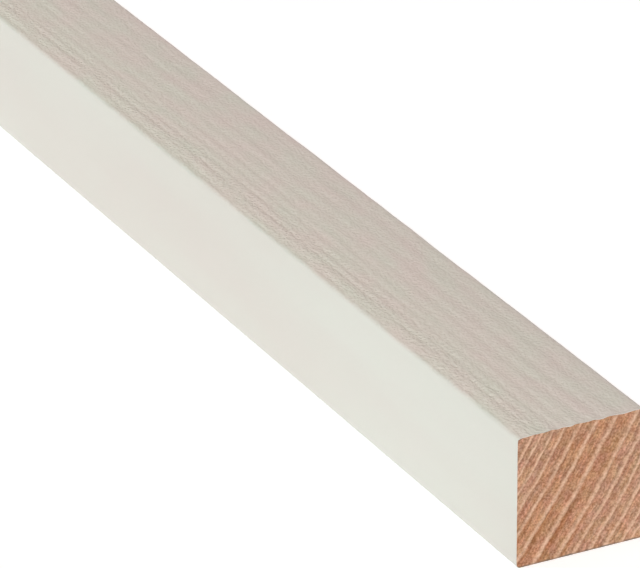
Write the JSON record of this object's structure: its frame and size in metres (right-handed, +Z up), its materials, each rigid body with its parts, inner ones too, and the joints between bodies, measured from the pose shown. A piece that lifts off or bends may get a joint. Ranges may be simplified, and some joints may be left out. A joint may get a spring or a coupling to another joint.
{
  "type": "square moulding",
  "caption": "Straight length of white-painted pine moulding with a square section, eased long edges and bare sawn ends, for trim, cover strips and corner joints.",
  "frame": {"origin": "middle of the underside, on the face that the moulding lies on", "axes": "+X along the length, towards the sawn end nearest the camera; +Z up; the section is 21 mm along Y and Z"},
  "size_m": [0.9, 0.021, 0.021],
  "materials": {
    "painted_pine": "satin"
  },
  "bodies": {
    "root": {"square_moulding": "painted_pine"}
  },
  "joints": []
}
